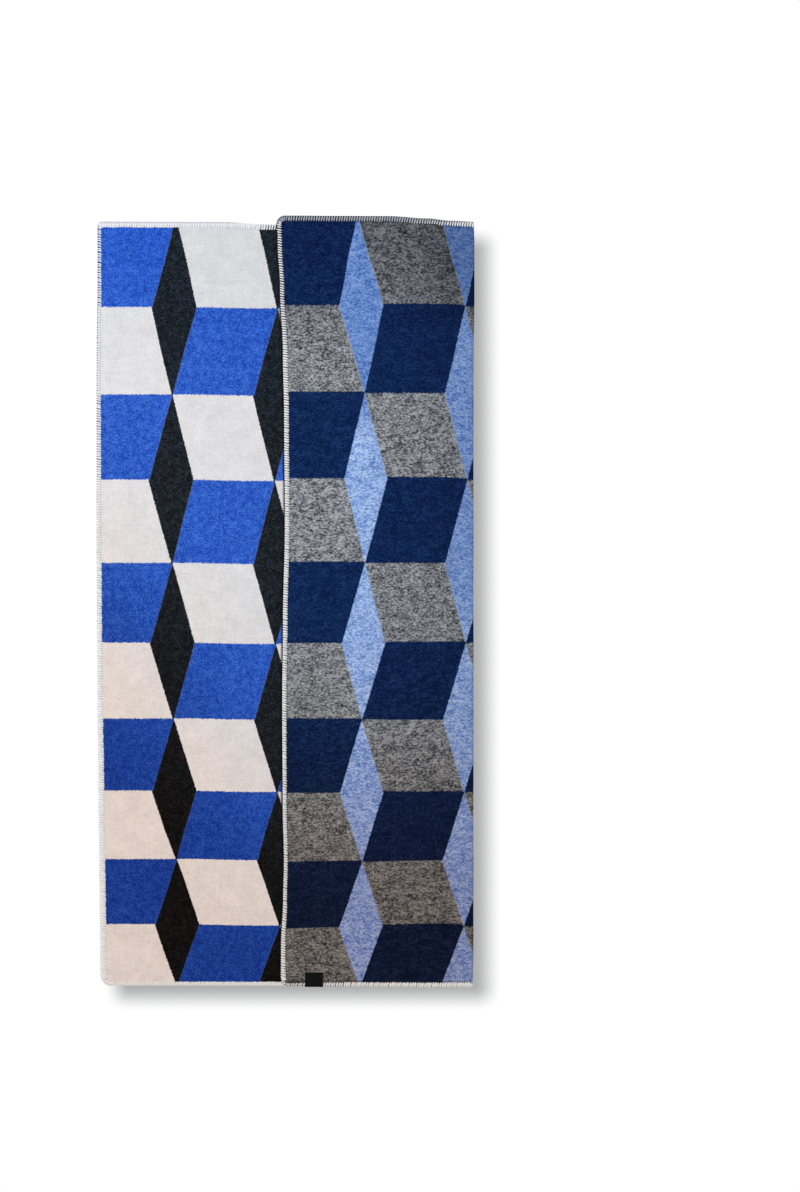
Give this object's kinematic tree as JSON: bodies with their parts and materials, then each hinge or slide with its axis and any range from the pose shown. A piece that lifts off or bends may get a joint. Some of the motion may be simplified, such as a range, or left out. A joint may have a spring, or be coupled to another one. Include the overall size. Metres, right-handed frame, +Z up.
{
  "type": "folded wool blanket",
  "caption": "Double-woven wool blanket laid flat and folded once along its length, with a whipped yarn edging all round and a small bare side label.",
  "frame": {"origin": "on the resting surface, under the middle of the folded blanket's box", "axes": "+X from the open side to the fold, +Y from the foot to the head along the length, +Z up through the layers"},
  "size_m": [0.988, 2.016, 0.0147],
  "materials": {
    "wool_cloth": "brushed woven wool, matt and slightly hairy, with a geometric pattern in off-white, blue and charcoal on the front and grey, navy and light blue on the back",
    "edging_yarn": "off-white wool yarn, whipped in close slanting stitches",
    "label_tape": "black woven tape, fine ribbed, bare"
  },
  "bodies": {
    "root": {"blanket_cloth": "wool_cloth", "yarn_edging": "edging_yarn", "side_label": "label_tape"}
  },
  "joints": []
}
